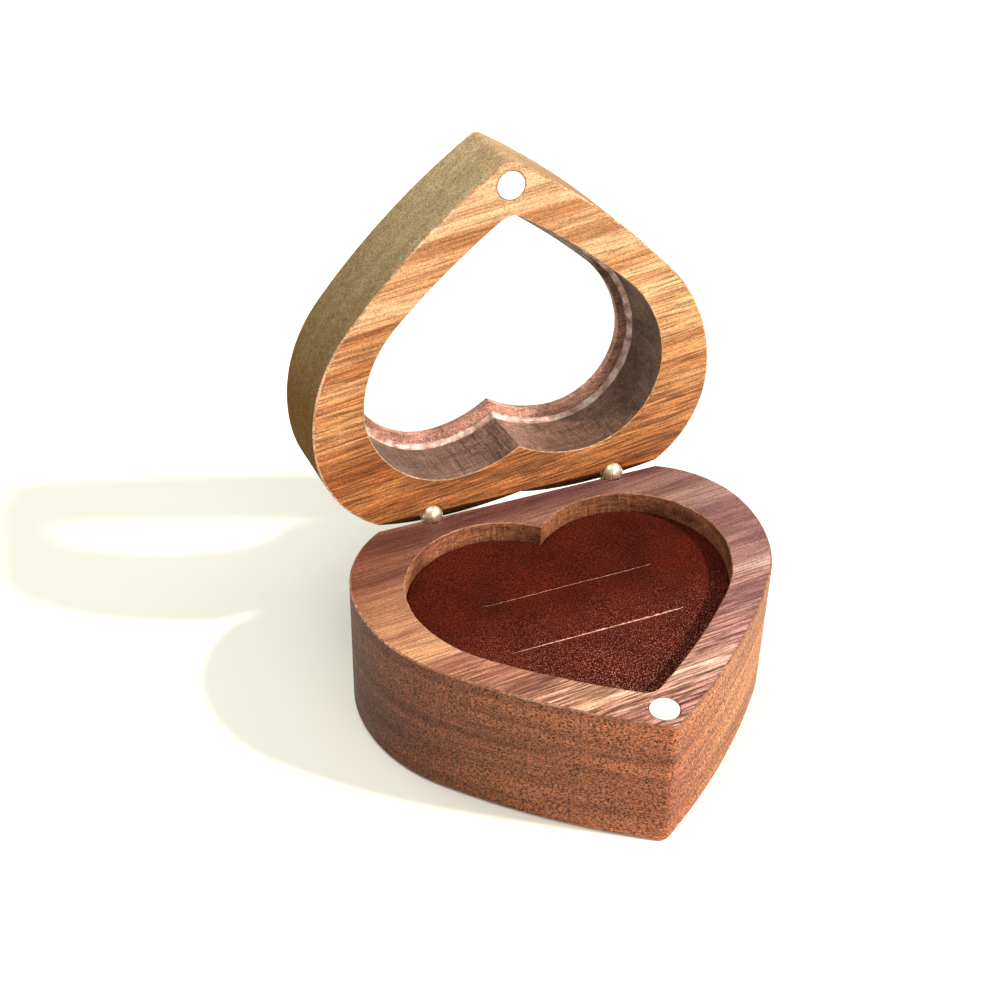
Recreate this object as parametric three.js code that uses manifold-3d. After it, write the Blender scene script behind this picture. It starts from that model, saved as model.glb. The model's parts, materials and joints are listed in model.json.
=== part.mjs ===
// A heart-shaped wooden ring box with a clear window in its lid, resting open.
// Millimetres, +Z up. The origin is the middle of the base's underside, the heart's
// tip points to -Y, and the hinges are at +Y. The lid is drawn closed and then turned open.
import * as THREE from "three";
import { mergeVertices } from "three/addons/utils/BufferGeometryUtils.js";
import Module from "manifold-3d";

const wasm = await Module();
wasm.setup();

// ---- driving dimensions ----

const BASE_HEIGHT = 26.2;
const LID_HEIGHT = 16.6;
const SEAM = 0.2; // gap between base and lid when the box is shut
const OPEN_ANGLE = 97.3;

// Each heart is a chain of arcs from its tip to its cleft: radius, turn in degrees.
// The last arc runs until it meets the middle of the heart.
const OUTER_HEART = [[1.5, 32], [132, 16.7], [28.7, 46.7], [20, 61.2], [29.1]];
const CAVITY_HEART = [[3, 33], [130.7, 11.4], [23.4, 33.5], [17]];
const WINDOW_HEART = [[3.2, 32.7], [130, 10.9], [21.9, 37.5], [16, 101.7], [23.7]];
const CAVITY_FROM_TIP = 8.5;
const WINDOW_FROM_TIP = 9.6;
const ARC_STEP = 4; // degrees of turn between outline points
const ROUND_SIDES = 32;
const PIN_SIDES = 20;
const DOME_STEPS = 8;
const OVERCUT = 1; // how far a cut runs past the face it opens

const FLOOR = 4;
const WINDOW_DEPTH = 12.7; // from the lid's inner face to the pane
const PANE_THICKNESS = 2;
const LIP_WIDTH = 2; // ledge that the pane rests against
const FIT = 0.3; // gap between pieces that touch

const HINGE_Y = 29.9;
const HINGE_ABOVE_BASE = 0.7;
const HINGE_X = { left: -16.9, right: 18.2 }; // not quite centred
const BEVEL_Y = 29.25; // where the back edges of base and lid turn away from the seam
const BEVEL_ANGLE = 45;
const BARREL_RADIUS = 2;
const BARREL_LENGTH = 9;
const BARREL_HOLE_RADIUS = 2.15;
const BARREL_END_GAP = 0.5; // past both ends of a barrel, in its hole
const SHOULDER = 2.6; // from the hinge axis to the full width of each barrel
const TONGUE_THICKNESS = 0.8;
const FORK_SLOT = 1.4;
const PIN_RADIUS = 0.5;
const PIN_HOLE_RADIUS = 0.65;
const PIN_LENGTH = 3.2;

const MAGNET_FROM_TIP = 4.3;
const MAGNET_RADIUS = 2.45;
const MAGNET_THICKNESS = 2;
const MAGNET_HOLE_RADIUS = 2.6;

const VELVET_TOP = 22.7;
const VELVET_THICKNESS = 0.9;
const SLIT_LENGTH = 32;
const SLIT_WIDTH = 0.6;
const SLIT_DEPTH = 11;
const SLITS_FROM_TIP = [28.4, 40.8];

// ---- materials ----

const finish = (color, roughness, metalness) =>
  new THREE.MeshStandardMaterial({ color, roughness, metalness });

const baseWood = finish(0x8f5f48, 0.55, 0);
const lidWood = finish(0xb9824c, 0.55, 0);
const acrylic = finish(0xeef4f4, 0.05, 0);
const brass = finish(0xd9b45f, 0.25, 1);
const nickel = finish(0xe6e6e8, 0.2, 1);
const foam = finish(0xc9a08c, 0.95, 0);
const velvet = finish(0x5c2016, 0.95, 0);

// ---- outlines ----

// Points of the right half of a heart, from the tip at the origin to the cleft.
function halfHeart(arcs, inset) {
  const points = [new THREE.Vector2(0, inset)];
  let heading = 0;
  for (const [fullRadius, turn] of arcs) {
    const radius = Math.max(fullRadius - inset, 0.1);
    const from = points[points.length - 1];
    const centre = new THREE.Vector2(
      from.x - radius * Math.sin(heading),
      from.y + radius * Math.cos(heading),
    );
    const sweep = turn === undefined
      ? Math.PI - Math.acos(centre.x / radius) - heading + Math.PI / 2
      : THREE.MathUtils.degToRad(turn);
    const steps = Math.ceil(THREE.MathUtils.radToDeg(sweep) / ARC_STEP);
    for (let step = 1; step <= steps; step += 1) {
      const angle = heading + (sweep * step) / steps;
      points.push(new THREE.Vector2(
        centre.x + radius * Math.sin(angle),
        centre.y - radius * Math.cos(angle),
      ));
    }
    heading += sweep;
  }
  points[points.length - 1].x = 0;
  return points;
}

const outerHalf = halfHeart(OUTER_HEART, 0);
const LENGTH = Math.max(...outerHalf.map((point) => point.y));
const TIP_Y = -LENGTH / 2;
const HINGE_Z = BASE_HEIGHT + HINGE_ABOVE_BASE;
const LID_FACE_Z = BASE_HEIGHT + SEAM;

function heartShape(arcs, fromTip, inset = 0) {
  const right = halfHeart(arcs, inset);
  const left = right.slice(1, -1).reverse().map((point) => new THREE.Vector2(-point.x, point.y));
  const points = [...right, ...left];
  points.forEach((point) => { point.y += TIP_Y + fromTip; });
  return new THREE.Shape(points);
}

// ---- solids ----

function solid(geometry) {
  const bare = geometry.index ? geometry.clone() : geometry;
  bare.deleteAttribute("normal");
  bare.deleteAttribute("uv");
  const merged = mergeVertices(bare, 1e-5);
  return new wasm.Manifold(new wasm.Mesh({
    numProp: 3,
    vertProperties: new Float32Array(merged.attributes.position.array),
    triVerts: new Uint32Array(merged.index.array),
  }));
}

function geometryOf(manifold) {
  const mesh = manifold.getMesh();
  const geometry = new THREE.BufferGeometry();
  geometry.setAttribute("position", new THREE.BufferAttribute(mesh.vertProperties, 3));
  geometry.setIndex(new THREE.BufferAttribute(mesh.triVerts, 1));
  return geometry;
}

function slab(shape, bottom, top) {
  const geometry = new THREE.ExtrudeGeometry(shape, { depth: top - bottom, bevelEnabled: false });
  geometry.translate(0, 0, bottom);
  return solid(geometry);
}

function rod(radius, x, y, bottom, top) {
  const geometry = new THREE.CylinderGeometry(radius, radius, top - bottom, ROUND_SIDES);
  geometry.rotateX(Math.PI / 2);
  geometry.translate(x, y, (bottom + top) / 2);
  return solid(geometry);
}

function block(width, depth, height, x, y, z) {
  const geometry = new THREE.BoxGeometry(width, depth, height);
  geometry.translate(x, y, z);
  return solid(geometry);
}

// Everything behind the bevelled back edge: side is -1 for the base and +1 for the lid.
function bevelCutter(side) {
  const angle = THREE.MathUtils.degToRad(BEVEL_ANGLE);
  const geometry = new THREE.BoxGeometry(2 * LENGTH, LENGTH / 2, LENGTH / 2);
  geometry.translate(0, 0, LENGTH / 4);
  geometry.rotateX(side < 0 ? -angle : Math.PI + angle);
  geometry.translate(0, BEVEL_Y, side < 0 ? BASE_HEIGHT : LID_FACE_Z);
  return solid(geometry);
}

const magnetY = TIP_Y + MAGNET_FROM_TIP;

// The blind hole of one hinge barrel: side is -1 into the base and +1 into the lid.
function barrelHole(x, side) {
  const deep = BARREL_LENGTH + BARREL_END_GAP;
  const near = BARREL_RADIUS + BARREL_END_GAP;
  const ends = side < 0 ? [HINGE_Z - deep, HINGE_Z + near] : [HINGE_Z - near, HINGE_Z + deep];
  return rod(BARREL_HOLE_RADIUS, x, HINGE_Y, ...ends);
}

function baseBody() {
  let body = slab(heartShape(OUTER_HEART, 0), 0, BASE_HEIGHT);
  body = body.subtract(slab(heartShape(CAVITY_HEART, CAVITY_FROM_TIP), FLOOR, BASE_HEIGHT + OVERCUT));
  body = body.subtract(bevelCutter(-1));
  const pocketFloor = BASE_HEIGHT - MAGNET_THICKNESS - FIT;
  body = body.subtract(rod(MAGNET_HOLE_RADIUS, 0, magnetY, pocketFloor, BASE_HEIGHT + OVERCUT));
  for (const x of Object.values(HINGE_X)) {
    body = body.subtract(barrelHole(x, -1));
  }
  return body;
}

function lidFrame() {
  const top = LID_FACE_Z + LID_HEIGHT;
  const seat = LID_FACE_Z + WINDOW_DEPTH + PANE_THICKNESS + FIT;
  const pocket = heartShape(WINDOW_HEART, WINDOW_FROM_TIP);
  const window = heartShape(WINDOW_HEART, WINDOW_FROM_TIP, LIP_WIDTH);
  let frame = slab(heartShape(OUTER_HEART, 0), LID_FACE_Z, top);
  frame = frame.subtract(slab(pocket, LID_FACE_Z - OVERCUT, seat));
  frame = frame.subtract(slab(window, seat - OVERCUT, top + OVERCUT));
  frame = frame.subtract(bevelCutter(1));
  const pocketTop = LID_FACE_Z + MAGNET_THICKNESS + FIT;
  frame = frame.subtract(rod(MAGNET_HOLE_RADIUS, 0, magnetY, LID_FACE_Z - OVERCUT, pocketTop));
  for (const x of Object.values(HINGE_X)) {
    frame = frame.subtract(barrelHole(x, 1));
  }
  return frame;
}

function windowPane() {
  const bottom = LID_FACE_Z + WINDOW_DEPTH;
  const shape = heartShape(WINDOW_HEART, WINDOW_FROM_TIP, FIT);
  return slab(shape, bottom, bottom + PANE_THICKNESS);
}

function magnet(bottom) {
  return rod(MAGNET_RADIUS, 0, magnetY, bottom, bottom + MAGNET_THICKNESS);
}

function slits(bottom, top) {
  const [first, second] = SLITS_FROM_TIP.map((fromTip) =>
    block(SLIT_LENGTH, SLIT_WIDTH, top - bottom, 0, TIP_Y + fromTip, (bottom + top) / 2));
  return first.add(second);
}

function padLayer(bottom, top) {
  const shape = heartShape(CAVITY_HEART, CAVITY_FROM_TIP, FIT);
  return slab(shape, bottom, top).subtract(slits(VELVET_TOP - SLIT_DEPTH, VELVET_TOP + OVERCUT));
}

// A round-ended barrel with its dome centred on the hinge axis, standing below it.
function barrel(x) {
  const profile = [
    new THREE.Vector2(0, -BARREL_LENGTH),
    new THREE.Vector2(BARREL_RADIUS, -BARREL_LENGTH),
  ];
  for (let step = 0; step < DOME_STEPS; step += 1) {
    const angle = (Math.PI / 2) * (step / DOME_STEPS);
    profile.push(new THREE.Vector2(
      BARREL_RADIUS * Math.cos(angle),
      BARREL_RADIUS * Math.sin(angle),
    ));
  }
  profile.push(new THREE.Vector2(0, BARREL_RADIUS));
  const geometry = new THREE.LatheGeometry(profile, ROUND_SIDES);
  geometry.rotateX(Math.PI / 2);
  geometry.translate(x, HINGE_Y, HINGE_Z);
  return solid(geometry);
}

function crossRod(radius, x, length) {
  const geometry = new THREE.CylinderGeometry(radius, radius, length, PIN_SIDES);
  geometry.rotateZ(Math.PI / 2);
  geometry.translate(x, HINGE_Y, HINGE_Z);
  return solid(geometry);
}

// A block across a barrel, from its shoulder up past its dome.
function cheekBlock(width, x) {
  const height = SHOULDER + BARREL_RADIUS + OVERCUT;
  return block(width, 3 * BARREL_RADIUS, height, x, HINGE_Y, HINGE_Z - SHOULDER + height / 2);
}

// The base's barrel ends in a fork.
function forkBarrel(x) {
  const pinHole = crossRod(PIN_HOLE_RADIUS, x, 3 * BARREL_RADIUS);
  return barrel(x).subtract(cheekBlock(FORK_SLOT, x)).subtract(pinHole);
}

// The lid's barrel stands the other way up and ends in a tongue that fills the fork.
function tongueBarrel(x) {
  const offset = TONGUE_THICKNESS / 2 + BARREL_RADIUS;
  let piece = barrel(x).subtract(crossRod(PIN_HOLE_RADIUS, x, 3 * BARREL_RADIUS));
  for (const side of [-1, 1]) {
    piece = piece.subtract(cheekBlock(2 * BARREL_RADIUS, x + side * offset));
  }
  const geometry = geometryOf(piece);
  geometry.translate(-x, -HINGE_Y, -HINGE_Z);
  geometry.rotateX(Math.PI);
  geometry.translate(x, HINGE_Y, HINGE_Z);
  return geometry;
}

// ---- assembly ----

function node(name, shape, material) {
  const geometry = shape.isBufferGeometry ? shape : geometryOf(shape);
  const mesh = new THREE.Mesh(geometry, material.clone());
  mesh.name = name;
  return mesh;
}

// The lid's group turns about the hinge axis, so its pieces are moved to sit around it.
function lidNode(name, shape, material) {
  const mesh = node(name, shape, material);
  mesh.geometry.translate(0, -HINGE_Y, -HINGE_Z);
  return mesh;
}

const box = new THREE.Group();
const lid = new THREE.Group();
lid.position.set(0, HINGE_Y, HINGE_Z);
lid.rotation.x = THREE.MathUtils.degToRad(-OPEN_ANGLE);
box.add(lid);

box.add(node("base_body", baseBody(), baseWood));
box.add(node("base_magnet", magnet(BASE_HEIGHT - MAGNET_THICKNESS), nickel));
const velvetBottom = VELVET_TOP - VELVET_THICKNESS;
box.add(node("ring_foam", padLayer(FLOOR + FIT, velvetBottom - FIT), foam));
box.add(node("velvet_facing", padLayer(velvetBottom, VELVET_TOP), velvet));

lid.add(lidNode("lid_frame", lidFrame(), lidWood));
lid.add(lidNode("window_pane", windowPane(), acrylic));
lid.add(lidNode("lid_magnet", magnet(LID_FACE_Z), nickel));

for (const [side, x] of Object.entries(HINGE_X)) {
  box.add(node(`${side}_hinge_base_barrel`, forkBarrel(x), brass));
  box.add(node(`${side}_hinge_pin`, crossRod(PIN_RADIUS, x, PIN_LENGTH), brass));
  lid.add(lidNode(`${side}_hinge_lid_barrel`, tongueBarrel(x), brass));
}

export default box;
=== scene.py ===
"""Looks for the heart-shaped wooden ring box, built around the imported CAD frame."""
import json
import math
import random

import bmesh
import bpy
import mathutils.noise
from mathutils import Matrix, Vector


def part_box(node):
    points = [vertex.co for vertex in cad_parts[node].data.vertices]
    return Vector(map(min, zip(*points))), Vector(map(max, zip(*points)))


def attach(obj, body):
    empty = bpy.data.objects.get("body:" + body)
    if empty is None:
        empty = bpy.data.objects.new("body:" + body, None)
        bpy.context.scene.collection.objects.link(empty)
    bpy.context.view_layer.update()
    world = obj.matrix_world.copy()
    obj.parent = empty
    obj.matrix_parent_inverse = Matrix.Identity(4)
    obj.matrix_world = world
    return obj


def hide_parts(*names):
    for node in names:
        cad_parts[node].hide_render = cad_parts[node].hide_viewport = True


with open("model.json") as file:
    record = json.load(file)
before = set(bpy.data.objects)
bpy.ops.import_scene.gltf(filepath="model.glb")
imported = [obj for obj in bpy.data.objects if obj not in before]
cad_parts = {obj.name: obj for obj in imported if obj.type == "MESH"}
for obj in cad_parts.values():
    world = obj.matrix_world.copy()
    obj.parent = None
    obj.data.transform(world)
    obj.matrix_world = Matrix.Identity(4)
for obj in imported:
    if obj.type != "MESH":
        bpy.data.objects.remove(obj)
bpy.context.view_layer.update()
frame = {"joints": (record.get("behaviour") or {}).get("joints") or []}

# ---- dimensions, in millimetres and degrees, in the object's frame with the lid shut ----

MM = 0.001
HINGE = frame["joints"][0]
HINGE_Y = HINGE["pos_m"][1] / MM
HINGE_Z = HINGE["pos_m"][2] / MM
OPEN_ANGLE = HINGE["range_deg"][1]

TIP_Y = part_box("base_body")[0].y / MM
BASE_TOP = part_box("base_body")[1].z / MM
LID_FACE = BASE_TOP + 0.2
LID_HEIGHT = 16.6
FLOOR_THICKNESS = 4
FOOT_ROUNDING = 0.8
FACE_ROUNDING = 0.3
OUTER_ROUNDING = 1.4
CAVITY_FILLET = 1.5
CAVITY_RIM_ROUNDING = 0.22
RIM_CHAMFER = 0.15

# Each heart is a chain of arcs from its tip to its cleft: radius, turn in degrees.
OUTER_HEART = [(1.5, 32), (132, 16.7), (28.7, 46.7), (20, 61.2), (29.1, None)]
CAVITY_HEART = [(3, 33), (130.7, 11.4), (23.4, 33.5), (17, None)]
WINDOW_HEART = [(3.2, 32.7), (130, 10.9), (21.9, 37.5), (16, 101.7), (23.7, None)]
CAVITY_FROM_TIP = 8.5
WINDOW_FROM_TIP = 9.6
POINT_SPACING = 0.5
EDGE_REACH = 0.4         # an edge band has its middle nearer to the rim than this

WINDOW_DEPTH = 12.7
WINDOW_ROUNDING = 0.4
PANE_THICKNESS = 2
PANE_ROUNDING = 0.15
PANE_SIDE_GAP = 0.08
PANE_TOP_GAP = 0.05
BEAD_SIDE_GAP = 0.04
BEAD_SIZES = (0.65, 1.15)
LEDGE_WIDTH = 2

BEVEL_Y = 29.25
BEVEL_ANGLE = 45
HINGE_X = {side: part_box(f"{side}_hinge_pin") for side in ("left", "right")}
HINGE_X = {side: (low.x + high.x) / 2 / MM for side, (low, high) in HINGE_X.items()}
BARREL_RADIUS = 2.0
BARREL_LENGTH = 9
BARREL_HOLE_RADIUS = 2.1
BARREL_HOLE_SPARE = 0.5
SHOULDER = 2.6
TONGUE_THICKNESS = 1.3
FORK_SLOT = 1.4
PIN_RADIUS = 0.5
PIN_LENGTH = 3.2
PIN_HOLE_RADIUS = 0.6

MAGNET_Y = TIP_Y + 4.3
MAGNET_RADIUS = 2.45
MAGNET_THICKNESS = 2
MAGNET_CHAMFER = 0.12
MAGNET_HOLE_RADIUS = 2.58
MAGNET_HOLE_SPARE = 0.3

VELVET_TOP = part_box("velvet_facing")[1].z / MM
VELVET_THICKNESS = 0.9
SLITS = [TIP_Y + 28.4, TIP_Y + 40.8]
SLIT_MOUTHS = (0.42, 0.1)
SLIT_HALF_LENGTH = 16
SLIT_DEPTH = 11
SLIT_BOTTOM_WIDTH = 0.12
CROWN_HEIGHT = 0.25
CROWN_STEEPNESS = 22

SMOOTH_ANGLE = 35
HINGE_SMOOTH_ANGLE = 40

VIEW_AZIMUTH = -23.08
VIEW_ELEVATION = 37.68
VIEW_ROLL = 1.2
VIEW_TARGET = (-0.0110, 0.0130, 0.0405)    # in metres
VIEW_DISTANCE = 0.298                      # in metres
LENS = 64.56
SENSOR_WIDTH = 36
LAMP_DISTANCE = 0.7                        # in metres
FLOOR_HALF_SIZE = 12                       # in metres
FLOOR_DROP = 0.00005                       # in metres, so that floor and base don't coincide


# ---- camera ----

def direction(azimuth, elevation):
    """A unit vector from the object; azimuth 0 is the front and 90 the right."""
    azimuth, elevation = math.radians(azimuth), math.radians(elevation)
    flat = math.cos(elevation)
    return Vector((math.sin(azimuth) * flat, -math.cos(azimuth) * flat, math.sin(elevation)))


def make_camera():
    """The main viewpoint: from the front left, looking down."""
    back = direction(VIEW_AZIMUTH, VIEW_ELEVATION)
    data = bpy.data.cameras.new("camera")
    data.lens = LENS
    data.sensor_width = SENSOR_WIDTH
    camera = bpy.data.objects.new("camera", data)
    bpy.context.scene.collection.objects.link(camera)
    turn = back.to_track_quat("Z", "Y").to_matrix().to_4x4()
    roll = Matrix.Rotation(math.radians(VIEW_ROLL), 4, "Z")
    place = Matrix.Translation(Vector(VIEW_TARGET) + VIEW_DISTANCE * back)
    camera.matrix_world = place @ turn @ roll
    bpy.context.scene.camera = camera


# ---- outlines ----

def half_heart(arcs, inset):
    """Points of a heart's right half, from its tip at the origin to its cleft, in mm."""
    points = [(0.0, inset)]
    heading = 0.0
    for full_radius, turn in arcs:
        radius = max(full_radius - inset, 0.05)
        x, y = points[-1]
        cx = x - radius * math.sin(heading)
        cy = y + radius * math.cos(heading)
        if turn is None:
            sweep = 1.5 * math.pi - math.acos(cx / radius) - heading
        else:
            sweep = math.radians(turn)
        steps = max(4, round(full_radius * math.radians(turn or 110) / POINT_SPACING))
        for step in range(1, steps + 1):
            angle = heading + sweep * step / steps
            points.append((cx + radius * math.sin(angle), cy - radius * math.cos(angle)))
        heading += sweep
    points[-1] = (0.0, points[-1][1])
    return points


def heart(arcs, from_tip, inset=0.0):
    """A closed heart outline, anticlockwise from the tip, in mm."""
    right = half_heart(arcs, inset)
    left = [(-x, y) for x, y in reversed(right[1:-1])]
    return [(x, y + TIP_Y + from_tip) for x, y in right + left]


def lower_rounding(radius, bottom, steps):
    """(inset, z) pairs round the bottom edge of a solid, from its flat to its wall."""
    angles = [math.pi / 2 * step / steps for step in range(steps + 1)]
    return [(radius * (1 - math.sin(a)), bottom + radius * (1 - math.cos(a))) for a in angles]


def upper_rounding(radius, top, steps, way=1):
    """(inset, z) pairs round the top edge, from the wall; way is -1 where the solid flares."""
    angles = [math.pi / 2 * step / steps for step in range(steps + 1)]
    return [(way * radius * (1 - math.cos(a)), top - radius * (1 - math.sin(a))) for a in angles]


def rounded_profile(bottom, top, bottom_radius, top_radius, steps=5):
    """(inset, z) pairs up the side of a solid whose two edges are rounded."""
    return lower_rounding(bottom_radius, bottom, steps) + upper_rounding(top_radius, top, steps)


def pocket_profile(floor, rim, floor_radius, rim_radius, beyond, steps=5):
    """(inset, z) pairs up the side of a cutter that leaves a filleted floor and a rounded rim."""
    flare = upper_rounding(rim_radius, rim, steps, way=-1)
    return lower_rounding(floor_radius, floor, steps) + flare + [(-rim_radius, beyond)]


# ---- meshes ----

def mesh_object(name, bm):
    """Turns a bmesh into an object in the scene, shaded smooth up to a sharp angle."""
    bmesh.ops.recalc_face_normals(bm, faces=bm.faces)
    mesh = bpy.data.meshes.new(name)
    bm.to_mesh(mesh)
    bm.free()
    shade(mesh, SMOOTH_ANGLE)
    obj = bpy.data.objects.new(name, mesh)
    bpy.context.scene.collection.objects.link(obj)
    return obj


def shade(mesh, smooth_angle):
    """Shades a mesh smooth, with sharp edges where it turns by more than the angle."""
    mesh.polygons.foreach_set("use_smooth", [True] * len(mesh.polygons))
    mesh.set_sharp_from_angle(angle=math.radians(smooth_angle))


def loft(name, rings, band_materials=None):
    """A closed solid through rings of equally many points, in mm, capped at both ends.

    band_materials gives the material number of each band between two rings; the caps have 0.
    """
    bm = bmesh.new()
    rows = [[bm.verts.new(Vector(p) * MM) for p in ring] for ring in rings]
    count = len(rows[0])
    for band, (lower, upper) in enumerate(zip(rows, rows[1:])):
        for i in range(count):
            j = (i + 1) % count
            face = bm.faces.new((lower[i], lower[j], upper[j], upper[i]))
            face.material_index = band_materials[band] if band_materials else 0
    bm.faces.new(list(reversed(rows[0])))
    bm.faces.new(rows[-1])
    return mesh_object(name, bm)


def heart_solid(name, arcs, from_tip, profile, materials=(), rim=None):
    """A heart whose materials are, in order, for its caps, its edge at height rim and its walls."""
    rings = [[(x, y, z) for x, y in heart(arcs, from_tip, inset)] for inset, z in profile]
    bands = []
    nothing = 1e-6
    for (low_inset, low), (high_inset, high) in zip(profile, profile[1:]):
        slanted = abs(high_inset - low_inset) > nothing and abs(high - low) > nothing
        at_rim = rim is not None and abs((low + high) / 2 - rim) < EDGE_REACH
        bands.append(1 if slanted and at_rim else 2)
    solid = loft(name, rings, bands if len(materials) == 3 else None)
    for material in materials:
        solid.data.materials.append(material)
    return solid


def tube(rings, material):
    """A ring-shaped solid: the rings are its lengthwise lines, and the last joins the first."""
    bm = bmesh.new()
    rows = [[bm.verts.new(Vector(p) * MM) for p in ring] for ring in rings]
    count = len(rows[0])
    for row, after in zip(rows, rows[1:] + rows[:1]):
        for i in range(count):
            j = (i + 1) % count
            bm.faces.new((row[i], row[j], after[j], after[i]))
    solid = mesh_object("tube", bm)
    solid.data.materials.append(material)
    return solid


def join(obj, *others):
    """Adds the others' meshes to obj's, with their materials, and deletes them."""
    bpy.context.view_layer.update()
    with bpy.context.temp_override(active_object=obj, selected_editable_objects=[obj, *others]):
        bpy.ops.object.join()


def turned(name, profile, sides=64):
    """A solid of revolution about Z from (radius, z) pairs, low to high, in mm."""
    rings = []
    for radius, z in profile:
        angles = [2 * math.pi * k / sides for k in range(sides)]
        rings.append([(radius * math.cos(a), radius * math.sin(a), z) for a in angles])
    return loft(name, rings)


def block(name, size, centre, material=None):
    """A rectangular block, in mm."""
    bm = bmesh.new()
    scale = Matrix.Diagonal(Vector(size) * MM).to_4x4()
    bmesh.ops.create_cube(bm, size=1, matrix=Matrix.Translation(Vector(centre) * MM) @ scale)
    solid = mesh_object(name, bm)
    if material:
        solid.data.materials.append(material)
    return solid


def cut(obj, *cutters):
    """Subtracts the cutters from obj's mesh and deletes them."""
    for cutter in cutters:
        modifier = obj.modifiers.new("cut", "BOOLEAN")
        modifier.operation = "DIFFERENCE"
        modifier.solver = "EXACT"
        modifier.material_mode = "TRANSFER"
        modifier.object = cutter
    apply_modifiers(obj)
    for cutter in cutters:
        bpy.data.objects.remove(cutter)
    shade(obj.data, SMOOTH_ANGLE)
    return obj


def apply_modifiers(obj):
    """Bakes an object's modifiers into its mesh."""
    bpy.context.view_layer.update()
    graph = bpy.context.evaluated_depsgraph_get()
    mesh = bpy.data.meshes.new_from_object(obj.evaluated_get(graph))
    obj.modifiers.clear()
    obj.data = mesh


def keep_flats_flat(obj):
    """Weights each normal by face area, so that rounded edges don't tilt the shading of flats."""
    modifier = obj.modifiers.new("weighted_normals", "WEIGHTED_NORMAL")
    modifier.keep_sharp = True


def move(obj, offset):
    """Shifts an object's mesh by an offset in mm, and leaves its own axes in place."""
    obj.data.transform(Matrix.Translation(Vector(offset) * MM))
    return obj


def open_lid(obj):
    """Turns a piece modelled with the lid shut, and leaves its own axes lined up with the lid."""
    hinge = Vector((0, HINGE_Y, HINGE_Z))
    move(obj, -hinge)
    turn = Matrix.Rotation(math.radians(-OPEN_ANGLE), 4, "X")
    obj.matrix_world = Matrix.Translation(hinge * MM) @ turn
    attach(obj, "lid")


# ---- material helpers ----

def feed(tree, socket, value):
    """Gives an input socket a value, or links another socket to it."""
    if isinstance(value, bpy.types.NodeSocket):
        tree.links.new(value, socket)
    else:
        socket.default_value = value


def node(tree, kind, inputs=None, **settings):
    """A shader node with its settings and inputs; an input may be a value or another socket."""
    made = tree.nodes.new(kind)
    for key, value in settings.items():
        setattr(made, key, value)
    for key, value in (inputs or {}).items():
        feed(tree, made.inputs[key], value)
    return made


def new_material(name, **shader_inputs):
    """A material, its node tree and its shader, with the shader's plain values set."""
    material = bpy.data.materials.new(name)
    material.use_nodes = True
    tree = material.node_tree
    shader = tree.nodes["Principled BSDF"]
    for key, value in shader_inputs.items():
        shader.inputs[key.replace("_", " ")].default_value = value
    return material, tree, shader


def grey(value):
    """The grey of one value, as a colour."""
    return (value, value, value)


def ramp(tree, factor, stops):
    """A colour ramp through (position, colour) stops."""
    made = node(tree, "ShaderNodeValToRGB", {"Fac": factor})
    elements = made.color_ramp.elements
    while len(elements) < len(stops):
        elements.new(0.5)
    for element, (position, colour) in zip(elements, stops):
        element.position = position
        element.color = (*colour, 1)
    return made.outputs["Color"]


def blend_colours(tree, mode, factor, first, second):
    """Blends two colours; the numbers are the Mix node's colour sockets."""
    made = node(tree, "ShaderNodeMix", data_type="RGBA", blend_type=mode)
    for socket, value in ((0, factor), (6, first), (7, second)):
        feed(tree, made.inputs[socket], value)
    return made.outputs[2]


def shaded(tree, colour, share, mask, ends, darker, lighter):
    """Darkens a colour where a noise is low and lightens it where it is high."""
    low, high = ends
    stops = [(low, grey(1 - darker)), (0.5, grey(1)), (high, grey(1 + lighter))]
    return blend_colours(tree, "MULTIPLY", share, colour, ramp(tree, mask, stops))


def maths(tree, operation, first, second):
    """The result of a Math node; either side may be a number or a socket."""
    made = node(tree, "ShaderNodeMath", operation=operation)
    for socket, value in ((0, first), (1, second)):
        feed(tree, made.inputs[socket], value)
    return made.outputs[0]


def noise(tree, vector, scale, detail=2.0, roughness=0.5, distortion=0.0):
    """A noise texture's value, about 0 to 1 with its middle at 0.5."""
    inputs = {
        "Vector": vector, "Scale": scale, "Detail": detail,
        "Roughness": roughness, "Distortion": distortion,
    }
    return node(tree, "ShaderNodeTexNoise", inputs).outputs["Fac"]


def place_on(tree):
    """The place on the piece, in metres along the piece's own axes."""
    return node(tree, "ShaderNodeTexCoord").outputs["Object"]


def in_millimetres(tree, place, along=1, rotation=(0, 0, 0)):
    """A place in millimetres, squeezed along X so that a noise makes streaks along X."""
    inputs = {"Vector": place, "Rotation": rotation, "Scale": (along / MM, 1 / MM, 1 / MM)}
    return node(tree, "ShaderNodeMapping", inputs).outputs["Vector"]


def share_along(tree, axes, axis, start, end, first=0.0, last=1.0):
    """A number that goes from first to last between two places on an axis, in mm."""
    inputs = {
        "Value": axes.outputs[axis], "From Min": start * MM, "From Max": end * MM,
        "To Min": first, "To Max": last,
    }
    return node(tree, "ShaderNodeMapRange", inputs).outputs["Result"]


def add_bump(tree, shader, height, strength, distance):
    """Gives the shader a bumped normal; the distance is in metres."""
    inputs = {"Height": height, "Strength": strength, "Distance": distance}
    bump = node(tree, "ShaderNodeBump", inputs)
    tree.links.new(bump.outputs["Normal"], shader.inputs["Normal"])
    return bump


# ---- materials ----

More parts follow.
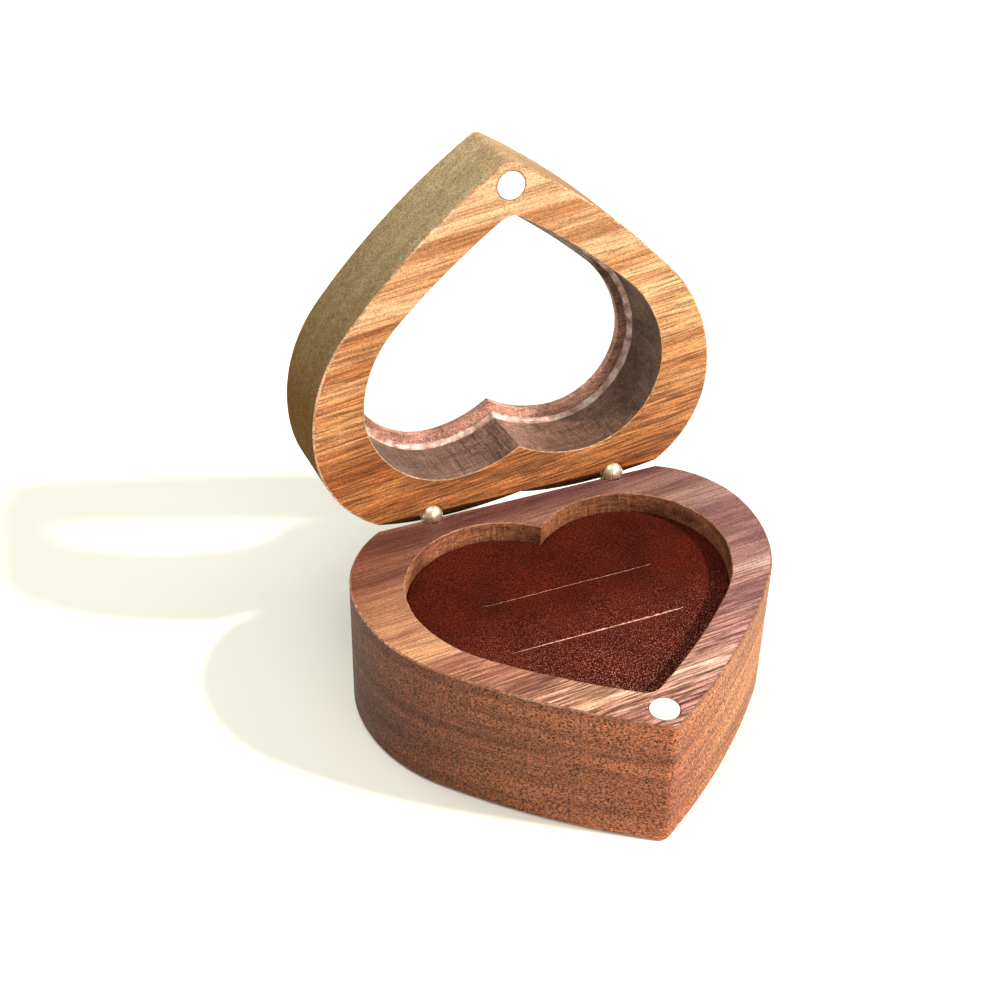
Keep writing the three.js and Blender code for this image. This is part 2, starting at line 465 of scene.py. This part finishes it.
def wood(name, dark, middle, light, pore, **look):
    """Oiled wood as a solid texture with its grain along X.

    Growth bands give the broad colour, lines and hairs the fibres, and pores the dark dashes.
    Drifts tint the colour from one place on an axis to another, and calming fades the figure; most of the
    drifts below are painted light and shade.
    """
    turn = math.radians(look.get("grain_turn", 3.0))
    tilt = math.radians(1.5)
    offset = look.get("offset", (3, 7, 11))
    roughness = look.get("roughness", 0.5)
    fibre_depth = look.get("fibres", 0.5)
    dot_depth = look.get("stipple", 0.3)
    line_density = look.get("line_density", 1.1)
    material, tree, shader = new_material(name, IOR=1.45)
    shader.inputs["Specular IOR Level"].default_value = look.get("specular", 0.35)
    place = place_on(tree)

    def layer(x, y, z):
        """Coordinates in mm, turned with the grain and then squeezed along each axis."""
        turned_place = node(tree, "ShaderNodeMapping", {
            "Vector": place, "Rotation": (0, tilt, turn),
            "Scale": (1 / MM, 1 / MM, 1 / MM), "Location": offset,
        }).outputs["Vector"]
        inputs = {"Vector": turned_place, "Scale": (x, y, z)}
        return node(tree, "ShaderNodeMapping", inputs).outputs["Vector"]

    bands = noise(tree, layer(*look.get("band_scale", (0.008, 0.16, 0.3))), 1.0, 3, 0.55, 0.3)
    lines = noise(tree, layer(0.05, line_density, line_density), 1.0, 3, 0.6, 0.15)
    hairs = noise(tree, layer(0.16, 3.6, 3.6), 1.0, 2, 0.6)
    pores = noise(tree, layer(*look.get("pore_scale", (0.35, 3.2, 3.2))), 1.0, 1, 0.5)
    dots = noise(tree, layer(*look.get("stipple_scale", (2.6, 3.4, 3.4))), 1.0, 2, 0.7)

    axes = node(tree, "ShaderNodeSeparateXYZ", {"Vector": place})
    figure = 1.0
    if "calming" in look:
        figure = share_along(tree, axes, *look["calming"], first=1.0, last=0.33)
    colour = ramp(tree, bands, [(0.36, dark), (0.5, middle), (0.64, light)])
    for axis, start, end, start_tint, end_tint in look.get("drifts", ()):
        share = share_along(tree, axes, axis, start, end)
        tint = ramp(tree, share, [(0, start_tint), (1, end_tint)])
        colour = blend_colours(tree, "MULTIPLY", 1.0, colour, tint)
    colour = shaded(tree, colour, figure, lines, (0.36, 0.64), 0.75 * fibre_depth, 0.6 * fibre_depth)
    colour = shaded(tree, colour, figure, hairs, (0.34, 0.66), 0.7 * fibre_depth, 0.5 * fibre_depth)
    colour = shaded(tree, colour, 1.0, dots, (0.36, 0.66), dot_depth, 0.8 * dot_depth)
    pore_mask = ramp(tree, pores, [(0.56, grey(0)), (0.63, grey(1))])
    pore_share = maths(tree, "MULTIPLY", pore_mask, look.get("pores", 0.7))
    pore_share = maths(tree, "MULTIPLY", pore_share, figure)
    colour = blend_colours(tree, "MIX", pore_share, colour, (*pore, 1))
    tree.links.new(colour, shader.inputs["Base Color"])

    gloss = ramp(tree, lines, [(0.3, grey(roughness + 0.12)), (0.7, grey(roughness - 0.06))])
    tree.links.new(gloss, shader.inputs["Roughness"])
    raised = maths(tree, "ADD", maths(tree, "MULTIPLY", hairs, 0.6), maths(tree, "MULTIPLY", dots, 0.5))
    raised = maths(tree, "SUBTRACT", raised, maths(tree, "MULTIPLY", pore_mask, 0.6))
    bump = add_bump(tree, shader, raised, 0.6, 0.00014)
    if "tool_marks" in look:
        inputs = {"Vector": place, "Scale": (1 / MM, 1 / MM, 0.15 / MM)}
        upright = node(tree, "ShaderNodeMapping", inputs).outputs["Vector"]
        ridges = noise(tree, upright, 0.9, 3, 0.6)
        add_bump(tree, bump, ridges, look["tool_marks"], 0.0007)
    return material


def velvet():
    """Flocked velvet: dark maroon, with pale specks on the fibre tips that are painted glints of light,
    denser towards the heart's tip.
    """
    material, tree, shader = new_material(
        "velvet", Roughness=0.9, Sheen_Weight=0.06, Sheen_Roughness=0.35,
    )
    shader.inputs["Sheen Tint"].default_value = (0.8, 0.15, 0.08, 1)
    shader.inputs["Specular IOR Level"].default_value = 0.05
    place = place_on(tree)
    plain = in_millimetres(tree, place)
    fine = noise(tree, plain, 3.4, 3, 0.75)
    broad = noise(tree, plain, 0.1, 2, 0.5)
    glint_noise = noise(tree, plain, 5.6, 1, 0.5)
    base = ramp(tree, fine, [
        (0.36, (0.012, 0.001, 0.0004)),
        (0.5, (0.056, 0.0055, 0.0022)),
        (0.66, (0.155, 0.023, 0.011)),
    ])
    nap = ramp(tree, broad, [(0.35, grey(0.75)), (0.65, grey(1.2))])
    base = blend_colours(tree, "MULTIPLY", 1.0, base, nap)
    axes = node(tree, "ShaderNodeSeparateXYZ", {"Vector": place})
    # Painted glints: pale specks in the colour stand for light catching the fibre tips, and grow denser
    # towards the heart's tip.
    reach = share_along(tree, axes, "Y", 6, -20, first=0.03, last=1.0)
    painted_glint_mask = ramp(tree, glint_noise, [(0.635, grey(0)), (0.675, grey(1))])
    painted_glint_share = maths(tree, "MULTIPLY", painted_glint_mask, reach)
    colour = blend_colours(tree, "MIX", painted_glint_share, base, (0.92, 0.42, 0.35, 1))
    tree.links.new(colour, shader.inputs["Base Color"])
    add_bump(tree, shader, fine, 0.9, 0.0003)
    return material


def foam(name, colour):
    """Open-cell foam, and the cut edge of the velvet's backing."""
    material, tree, shader = new_material(name, Roughness=0.95)
    inputs = {"Vector": in_millimetres(tree, place_on(tree)), "Scale": 3.5}
    cells = node(tree, "ShaderNodeTexVoronoi", inputs).outputs["Distance"]
    shades = [(0.0, [c * 0.7 for c in colour]), (0.6, colour)]
    tree.links.new(ramp(tree, cells, shades), shader.inputs["Base Color"])
    add_bump(tree, shader, cells, 0.6, 0.0002)
    return material


def metal(name, colour, tarnish, roughness, metallic):
    """Plated or polished metal with faint scratches and tarnish."""
    material, tree, shader = new_material(name, Metallic=metallic)
    place = place_on(tree)
    cloud = noise(tree, in_millimetres(tree, place), 0.8, 4, 0.6)
    scratches = noise(tree, in_millimetres(tree, place, 0.15, (0, 0, 0.6)), 9, 2, 0.6)
    shades = ramp(tree, cloud, [(0.35, tarnish), (0.55, colour)])
    tree.links.new(shades, shader.inputs["Base Color"])
    gloss = ramp(tree, scratches, [(0.3, grey(roughness * 0.7)), (0.7, grey(roughness * 1.4))])
    tree.links.new(gloss, shader.inputs["Roughness"])
    add_bump(tree, shader, scratches, 0.15, 0.00005)
    return material


def acrylic():
    """Clear polished acrylic."""
    material, tree, shader = new_material("acrylic", Transmission_Weight=1.0, IOR=1.49)
    shader.inputs["Base Color"].default_value = (0.98, 0.985, 0.98, 1)
    smears = noise(tree, in_millimetres(tree, place_on(tree)), 0.1, 3, 0.6)
    gloss = ramp(tree, smears, [(0.4, grey(0.01)), (0.7, grey(0.05))])
    tree.links.new(gloss, shader.inputs["Roughness"])
    return material


def glue():
    """The set bead of clear glue round the pane."""
    material, tree, shader = new_material("pane_glue", Roughness=0.18, IOR=1.45)
    shader.inputs["Subsurface Weight"].default_value = 0.3
    shader.inputs["Subsurface Radius"].default_value = (0.001, 0.0007, 0.0006)
    lumps = noise(tree, in_millimetres(tree, place_on(tree)), 0.5, 3, 0.6)
    shades = [(0.35, (0.36, 0.2, 0.15)), (0.5, (0.62, 0.42, 0.36)), (0.65, (0.9, 0.75, 0.7))]
    tree.links.new(ramp(tree, lumps, shades), shader.inputs["Base Color"])
    add_bump(tree, shader, lumps, 0.5, 0.0004)
    return material


# ---- pieces ----

def bevel_cutter(side, material):
    """Everything behind the bevelled back edge: side is -1 for the base and +1 for the lid."""
    width, size = 100, 40
    cutter = block("bevel_cutter", (width, size, size), (0, 0, size / 2), material)
    angle = math.radians(BEVEL_ANGLE)
    cutter.data.transform(Matrix.Rotation(-angle if side < 0 else math.pi + angle, 4, "X"))
    return move(cutter, (0, BEVEL_Y, BASE_TOP if side < 0 else LID_FACE))


def hole_cutters(side):
    """The magnet pocket and the two barrel holes of the base (-1) or the lid (+1)."""
    face = BASE_TOP if side < 0 else LID_FACE
    profile = [
        (MAGNET_HOLE_RADIUS, face + side * (MAGNET_THICKNESS + MAGNET_HOLE_SPARE)),
        (MAGNET_HOLE_RADIUS, face + side * RIM_CHAMFER),
        (MAGNET_HOLE_RADIUS + RIM_CHAMFER, face),
        (MAGNET_HOLE_RADIUS + RIM_CHAMFER, face - side),
    ]
    profile.sort(key=lambda point: point[1])
    cutters = [move(turned("magnet_cutter", profile), (0, MAGNET_Y, 0))]
    inner_end = HINGE_Z + side * (BARREL_LENGTH + BARREL_HOLE_SPARE)
    outer_end = HINGE_Z - side * (BARREL_RADIUS + BARREL_HOLE_SPARE)
    ends = sorted((inner_end, outer_end))
    for x in HINGE_X.values():
        barrel_hole = turned("barrel_cutter", [(BARREL_HOLE_RADIUS, z) for z in ends])
        cutters.append(move(barrel_hole, (x, HINGE_Y, 0)))
    return cutters


def make_base(face, edge, side, milled):
    """The base's wooden block with its cavity, from its four wood materials."""
    outline = rounded_profile(0, BASE_TOP, FOOT_ROUNDING, FACE_ROUNDING)
    body = heart_solid("base_wood", OUTER_HEART, 0, outline, (face, edge, side), BASE_TOP)
    inside = pocket_profile(
        FLOOR_THICKNESS, BASE_TOP, CAVITY_FILLET, CAVITY_RIM_ROUNDING, BASE_TOP + 1,
    )
    inner_woods = (milled, edge, milled)
    cavity = heart_solid(
        "cavity_cutter", CAVITY_HEART, CAVITY_FROM_TIP, inside, inner_woods, BASE_TOP,
    )
    cut(body, cavity, bevel_cutter(-1, side), *hole_cutters(-1))
    keep_flats_flat(body)
    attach(body, "base")
    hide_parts("base_body")


def make_lid(face, edge, side, milled):
    """The lid's wooden frame: a pocket from its face, then a window with a ledge round it."""
    top = LID_FACE + LID_HEIGHT
    ledge = LID_FACE + WINDOW_DEPTH + PANE_THICKNESS + PANE_TOP_GAP
    outline = rounded_profile(LID_FACE, top, FACE_ROUNDING, OUTER_ROUNDING)
    body = heart_solid("lid_wood", OUTER_HEART, 0, outline, (face, edge, side), LID_FACE)
    rim, corner, bend = RIM_CHAMFER, WINDOW_ROUNDING, 0.3
    pocket = [
        (-rim, LID_FACE - 1), (-rim, LID_FACE), (-bend * rim, LID_FACE + bend * rim),
        (0, LID_FACE + rim), (0, ledge),
    ]
    window = [
        (LEDGE_WIDTH, ledge - 1), (LEDGE_WIDTH, top - corner),
        (LEDGE_WIDTH - bend * corner, top - bend * corner),
        (LEDGE_WIDTH - corner, top), (LEDGE_WIDTH - corner, top + 1),
    ]
    inner_woods = (milled, edge, milled)
    cutters = [
        heart_solid(name, WINDOW_HEART, WINDOW_FROM_TIP, profile, inner_woods, LID_FACE)
        for name, profile in (("pocket_cutter", pocket), ("window_cutter", window))
    ]
    cut(body, *cutters, bevel_cutter(1, side), *hole_cutters(1))
    keep_flats_flat(body)
    open_lid(body)
    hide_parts("lid_frame")


def make_bead(bottom, material):
    """The uneven bead of glue in the corner where the pane's inner face meets the wall."""
    outline = heart(WINDOW_HEART, WINDOW_FROM_TIP, BEAD_SIDE_GAP)
    middle = Vector((0, 3))
    rng = random.Random(3)
    sizes = [rng.uniform(*BEAD_SIZES) for _ in outline]
    count = len(outline)
    reach = 2
    near = range(-reach, reach + 1)
    sizes = [sum(sizes[(i + k) % count] for k in near) / len(near) for i in range(count)]
    rings = []
    steps = 6
    for step in range(steps + 1):
        angle = math.pi / 2 * step / steps
        ring = []
        for (x, y), size in zip(outline, sizes):
            inward = (middle - Vector((x, y))).normalized() * size * (1 - math.cos(angle))
            ring.append((x + inward.x, y + inward.y, bottom - size * (1 - math.sin(angle))))
        rings.append(ring)
    rings.append([(x, y, bottom) for x, y in outline])
    return tube(rings, material)


def make_pane(clear, bead_material):
    """The window pane with its bead of glue."""
    bottom = LID_FACE + WINDOW_DEPTH
    top = bottom + PANE_THICKNESS
    profile = rounded_profile(bottom, top, PANE_ROUNDING, PANE_ROUNDING, 2)
    profile = [(PANE_SIDE_GAP + inset, z) for inset, z in profile]
    pane = heart_solid("clear_pane", WINDOW_HEART, WINDOW_FROM_TIP, profile, (clear,))
    join(pane, make_bead(bottom, bead_material))
    keep_flats_flat(pane)
    open_lid(pane)
    pane.visible_shadow = False
    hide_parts("window_pane")


def make_magnet(name, node_name, bottom, material):
    """A plated disc magnet with softened edges, in the frame with the lid shut."""
    top = bottom + MAGNET_THICKNESS
    radius, chamfer, bend = MAGNET_RADIUS, MAGNET_CHAMFER, 0.3
    profile = [
        (radius - chamfer, bottom), (radius - bend * chamfer, bottom + bend * chamfer),
        (radius, bottom + chamfer), (radius, top - chamfer),
        (radius - bend * chamfer, top - bend * chamfer), (radius - chamfer, top),
    ]
    disc = move(turned(name, profile, 96), (0, MAGNET_Y, 0))
    disc.data.materials.append(material)
    keep_flats_flat(disc)
    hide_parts(node_name)
    return disc


def slit_cutter(y, mouth, rng, material):
    """An uneven knife cut along X with its mouth at the velvet's surface."""
    above, shoulder = VELVET_TOP + 0.3, VELVET_TOP - 0.8
    bottom = VELVET_TOP - SLIT_DEPTH
    narrow = SLIT_BOTTOM_WIDTH / 2
    stations = 110
    rings = []
    for station in range(stations + 1):
        share = station / stations
        x = SLIT_HALF_LENGTH * (2 * share - 1)
        taper = min(1, 12 * share * (1 - share))
        fading = min(1, 0.3 + 1.4 * share)
        half = mouth / 2 * (0.3 + 0.7 * taper) * fading * rng.uniform(0.3, 1.3)
        middle = y + rng.uniform(-0.06, 0.06)
        rings.append([
            (x, middle - half, above), (x, middle - half, VELVET_TOP),
            (x, y - narrow, shoulder), (x, y - narrow, bottom),
            (x, y + narrow, bottom), (x, y + narrow, shoulder),
            (x, middle + half, VELVET_TOP), (x, middle + half, above),
        ])
    cutter = loft("slit_cutter", rings)
    cutter.data.materials.append(material)
    return cutter


def nap_height(x, y):
    """How far the velvet's surface stands above its nominal height, in mm."""
    spot = Vector((x, y, 0))
    swell = mathutils.noise.noise(spot * 0.16)
    tuft = mathutils.noise.noise(spot * 0.8)
    height = 0.09 * swell + 0.03 * tuft
    dip, reach = 0.28, 0.75
    for slit in SLITS:
        ends = min(1, max(0, SLIT_HALF_LENGTH + 1 - abs(x)) / 2)
        height -= dip * ends * math.exp(-(((y - slit) / reach) ** 2))
    return height


def cushion(name, bottom, top, gap, edge_radius, material):
    """A soft heart-shaped slab whose top is crowned, dips at the slits and is gently uneven."""
    sides = rounded_profile(bottom, top - CROWN_HEIGHT, 0.05, edge_radius, 6)
    rings = []
    for inset, z in sides:
        outline = heart(CAVITY_HEART, CAVITY_FROM_TIP, gap + inset)
        rings.append([(x, y, z) for x, y in outline])
    rim = rings[-1]
    middle = (0.0, 2.0)
    steps = 70
    for step in range(1, steps):
        share = 1 - step / steps
        crown = CROWN_HEIGHT * (1 - math.exp(-CROWN_STEEPNESS * (1 - share)))
        settled = min(1, 12 * (1 - share))
        ring = []
        for x, y, z in rim:
            px = middle[0] + (x - middle[0]) * share
            py = middle[1] + (y - middle[1]) * share
            ring.append((px, py, z + crown + nap_height(px, py) * settled))
        rings.append(ring)
    solid = loft(name, rings)
    solid.data.materials.append(material)
    return solid


def make_pad(velvet_material, foam_material, edge_material):
    """The foam block and the velvet that is laminated to it, both slit to hold two rings."""
    seam = VELVET_TOP - VELVET_THICKNESS
    block_bottom = FLOOR_THICKNESS + 0.3
    block_piece = cushion("foam_block", block_bottom, seam - 0.2, 0.35, 1.0, foam_material)
    facing = cushion("velvet_top", seam + 0.15, VELVET_TOP, 0.12, 0.35, velvet_material)
    for piece in (block_piece, facing):
        rng = random.Random(7)
        cut(piece, *[slit_cutter(y, mouth, rng, edge_material) for y, mouth in zip(SLITS, SLIT_MOUTHS)])
        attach(piece, "base")
    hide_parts("ring_foam")
    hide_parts("velvet_facing")


def barrel(name):
    """A round-ended brass barrel below the hinge axis, ringed where it grips the wood."""
    radius = BARREL_RADIUS
    profile = [(radius - 0.35, -BARREL_LENGTH), (radius - 0.1, -BARREL_LENGTH + 0.25)]
    grooves, pitch, depth = 7, 0.7, 0.12
    first = -BARREL_LENGTH + 0.6
    for groove in range(grooves):
        z = first + groove * pitch
        profile += [(radius, z), (radius, z + 0.35), (radius - depth, z + 0.45)]
    profile.append((radius, first + grooves * pitch))
    steps = 14
    for step in range(steps):
        angle = math.pi / 2 * step / steps
        profile.append((radius * math.cos(angle), radius * math.sin(angle)))
    profile.append((0.05, radius))
    return turned(name, profile)


def pin_shape(name, radius, length):
    """A chamfered pin along X."""
    chamfer = 0.1
    half = length / 2
    profile = [
        (radius - chamfer, -half), (radius, -half + chamfer),
        (radius, half - chamfer), (radius - chamfer, half),
    ]
    piece = turned(name, profile, 32)
    piece.data.transform(Matrix.Rotation(math.pi / 2, 4, "Y"))
    return piece


def cheek_block(width, x):
    """A cutter across a barrel's round end, as deep as the fork's shoulder."""
    height = SHOULDER + BARREL_RADIUS + 1
    return block("cheek_cutter", (width, 3 * BARREL_RADIUS, height), (x, 0, height / 2 - SHOULDER))


def soften(obj, width):
    """Rounds an object's sharp edges."""
    modifier = obj.modifiers.new("soften", "BEVEL")
    modifier.width = width * MM
    modifier.segments = 2
    modifier.limit_method = "ANGLE"
    modifier.angle_limit = math.radians(50)
    apply_modifiers(obj)
    shade(obj.data, HINGE_SMOOTH_ANGLE)


def make_hinge(side, material):
    """One barrel hinge: a forked barrel and a cross pin in the base, a tongued barrel in the lid."""
    place = (HINGE_X[side], HINGE_Y, HINGE_Z)
    hole_length = 8
    fork = cut(
        barrel(f"{side}_fork_barrel"),
        cheek_block(FORK_SLOT, 0),
        pin_shape("pin_cutter", PIN_HOLE_RADIUS, hole_length),
    )
    offset = TONGUE_THICKNESS / 2 + BARREL_RADIUS
    tongue = cut(
        barrel(f"{side}_tongue_barrel"),
        cheek_block(2 * BARREL_RADIUS, -offset),
        cheek_block(2 * BARREL_RADIUS, offset),
        pin_shape("pin_cutter", PIN_HOLE_RADIUS, hole_length),
    )
    tongue.data.transform(Matrix.Rotation(math.pi, 4, "X"))
    pin = pin_shape(f"{side}_cross_pin", PIN_RADIUS, PIN_LENGTH)
    for piece, node_name in (
        (fork, f"{side}_hinge_base_barrel"),
        (tongue, f"{side}_hinge_lid_barrel"),
        (pin, f"{side}_hinge_pin"),
    ):
        if piece is not pin:
            soften(piece, 0.08)
        piece.data.materials.clear()
        piece.data.materials.append(material)
        move(piece, place)
        if piece is tongue:
            open_lid(piece)
        else:
            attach(piece, "base")
        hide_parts(node_name)


# ---- stage ----

def make_floor():
    """A large sheet of pale paper, just below the base."""
    bm = bmesh.new()
    bmesh.ops.create_grid(bm, x_segments=1, y_segments=1, size=FLOOR_HALF_SIZE)
    floor = mesh_object("floor", bm)
    floor.location.z = -FLOOR_DROP
    material, _, shader = new_material("floor_paper", Roughness=0.9)
    shader.inputs["Base Color"].default_value = (0.95, 0.95, 0.94, 1)
    floor.data.materials.append(material)


def make_sky():
    """A pale studio that is brighter above than below."""
    scene = bpy.context.scene
    scene.view_settings.view_transform = "Standard"
    scene.world = bpy.data.worlds.new("studio")
    scene.world.use_nodes = True
    tree = scene.world.node_tree
    background = tree.nodes["Background"]
    place = node(tree, "ShaderNodeTexCoord").outputs["Generated"]
    height = node(tree, "ShaderNodeSeparateXYZ", {"Vector": place}).outputs["Z"]
    shades = [(0.0, (0.42, 0.42, 0.42)), (0.5, (0.7, 0.71, 0.7)), (1.0, (0.95, 0.97, 1.0))]
    tree.links.new(ramp(tree, height, shades), background.inputs["Color"])
    background.inputs["Strength"].default_value = 0.6


def add_lamp(data, towards, colour, distance=0.0):
    """Puts a light in the scene, shining at the origin from the given direction."""
    data.color = colour
    lamp = bpy.data.objects.new(data.name, data)
    lamp.location = distance * towards
    lamp.rotation_euler = towards.to_track_quat("Z", "Y").to_euler()
    bpy.context.scene.collection.objects.link(lamp)


def add_sun(name, towards, strength, spread, colour):
    """A distant light; the spread is in degrees."""
    data = bpy.data.lights.new(name, "SUN")
    data.energy = strength
    data.angle = math.radians(spread)
    add_lamp(data, towards, colour)


def add_soft_box(name, towards, size, watts, colour):
    """A round soft light near the box; the size is in metres."""
    data = bpy.data.lights.new(name, "AREA")
    data.shape = "DISK"
    data.size = size
    data.energy = watts
    add_lamp(data, towards, colour, LAMP_DISTANCE)


# ---- the scene ----

make_camera()
base_woods = [
    wood(
        "base_top", (0.18, 0.062, 0.045), (0.3, 0.13, 0.082), (0.46, 0.25, 0.15), (0.05, 0.015, 0.008),
        grain_turn=-5, fibres=1.0, line_density=2.5, pores=0.8, pore_scale=(0.1, 2.7, 2.7),
        stipple=0.3, calming=("Y", -26, 2),
        # Painted sheen: much lighter and paler towards the front, darker and oranger on the left, pinker
        # and bluer on the right, as light reflects off the top.
        drifts=[
            ("Y", -30, 20, (2.25, 2.5, 2.45), (0.88, 0.82, 0.82)),
            ("X", -36, 36, (0.69, 0.58, 0.48), (0.77, 0.86, 1.3)),
        ],
    ),
    wood(
        "base_edge", (0.2, 0.08, 0.045), (0.29, 0.125, 0.075), (0.4, 0.2, 0.125), (0.09, 0.03, 0.015),
        pores=0.6,
    ),
    wood(
        "base_side", (0.22, 0.079, 0.036), (0.33, 0.122, 0.055), (0.42, 0.162, 0.073), (0.07, 0.022, 0.009),
        fibres=0.1, pores=0.5, pore_scale=(2.2, 3.0, 3.6), stipple=0.95, stipple_scale=(2.2, 2.8, 3.0),
        band_scale=(0.015, 0.02, 0.45), specular=0.22,
        # Painted shade and light: much darker on the left, away from the key light, and lighter and paler
        # on the right, where the key light falls.
        drifts=[
            ("X", -37, -4, (0.35, 0.29, 0.26), (1.03, 0.86, 0.8)),
            ("X", 2, 16, (1, 1.04, 1.06), (1.25, 1.65, 1.6)),
        ],
    ),
    wood(
        "base_milled", (0.17, 0.055, 0.028), (0.32, 0.12, 0.055), (0.45, 0.18, 0.09), (0.07, 0.024, 0.012),
        fibres=0.3, pores=0.6, stipple=0.25, tool_marks=1.0, roughness=0.6,
    ),
]
lid_woods = [
    wood(
        "lid_face", (0.36, 0.128, 0.036), (0.54, 0.245, 0.09), (0.66, 0.35, 0.15), (0.13, 0.038, 0.011),
        grain_turn=7, offset=(31, 17, 5), band_scale=(0.006, 0.25, 0.3), fibres=0.62, line_density=1.5,
        pores=0.8, pore_scale=(0.1, 2.6, 2.6), stipple=0.35, calming=("Y", -12, -60),
        drifts=[
            ("Y", -60, -25, (1.2, 1.65, 2.35), (1, 1.03, 1.06)),
            ("Y", -30, 0, (1.02, 0.95, 0.92), (0.58, 0.37, 0.24)),
            ("X", 8, 34, (1, 1, 1), (1.12, 1.2, 1.18)),
        ],
    ),
    # Painted highlight: lighter and paler than the face, for the light caught by the rounded edges round
    # the face and the window.
    wood(
        "lid_edge", (0.45, 0.22, 0.1), (0.58, 0.33, 0.18), (0.72, 0.46, 0.3), (0.25, 0.1, 0.05),
        pores=0.5,
    ),
    # Painted reflection and shade: the olive cast of the shades stands for green surroundings reflected in
    # the side; the drifts make it lighter and paler towards the tip, which faces up with the lid open,
    # darker towards the hinge, and fade the olive towards walnut on the right.
    wood(
        "lid_side", (0.28, 0.152, 0.07), (0.315, 0.172, 0.08), (0.35, 0.193, 0.091), (0.11, 0.06, 0.025),
        offset=(31, 17, 5), band_scale=(0.02, 0.04, 0.3), fibres=0.2, pores=0.4,
        pore_scale=(3.0, 3.6, 3.6), stipple=0.3, roughness=0.85, specular=0.03,
        drifts=[
            ("Y", -62, -24, (1.4, 1.94, 2.4), (0.43, 0.39, 0.24)),
            ("X", -6, 14, (1, 1, 1), (1.12, 0.87, 0.88)),
        ],
    ),
    wood(
        "lid_milled", (0.14, 0.085, 0.055), (0.22, 0.14, 0.095), (0.32, 0.21, 0.15), (0.07, 0.04, 0.025),
        offset=(31, 17, 5), band_scale=(0.1, 0.12, 0.08), fibres=0.3, pores=0.4, stipple=0.4,
        tool_marks=1.0, roughness=0.6,
        # Painted shade and light: darker towards the tip, where the wall faces down with the lid open,
        # lighter on the right, and a painted highlight from 14.4 mm up, on the lip behind the pane.
        drifts=[
            ("Y", -45, -5, (0.38, 0.4, 0.36), (1.08, 0.93, 1.0)),
            ("X", -10, 12, (0.9, 0.88, 0.9), (1.28, 1.28, 1.26)),
            ("Z", 13.9, 14.4, (1, 1, 1), (2.2, 2.0, 2.1)),
        ],
    ),
]
brass = metal("brass", (0.97, 0.86, 0.66), (0.88, 0.72, 0.48), roughness=0.36, metallic=1.0)
nickel = metal("nickel", (0.88, 0.88, 0.87), (0.8, 0.79, 0.77), roughness=0.3, metallic=0.3)
make_base(*base_woods)
make_lid(*lid_woods)
make_pane(acrylic(), glue())
base_magnet = make_magnet("base_catch_magnet", "base_magnet", BASE_TOP - MAGNET_THICKNESS, nickel)
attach(base_magnet, "base")
open_lid(make_magnet("lid_catch_magnet", "lid_magnet", LID_FACE, nickel))
make_pad(velvet(), foam("pad_foam", (0.55, 0.33, 0.26)), foam("slit_edge", (0.92, 0.6, 0.52)))
for side in ("left", "right"):
    make_hinge(side, brass)
make_floor()
make_sky()
add_sun("key", direction(58, 42), strength=3.9, spread=4, colour=(1.0, 0.9, 0.78))
add_soft_box("front_fill", direction(8, 22), size=0.5, watts=1.2, colour=(1.0, 0.86, 0.72))
add_soft_box("leafy_fill", direction(-115, 70), size=0.45, watts=2.5, colour=(0.95, 0.95, 0.72))
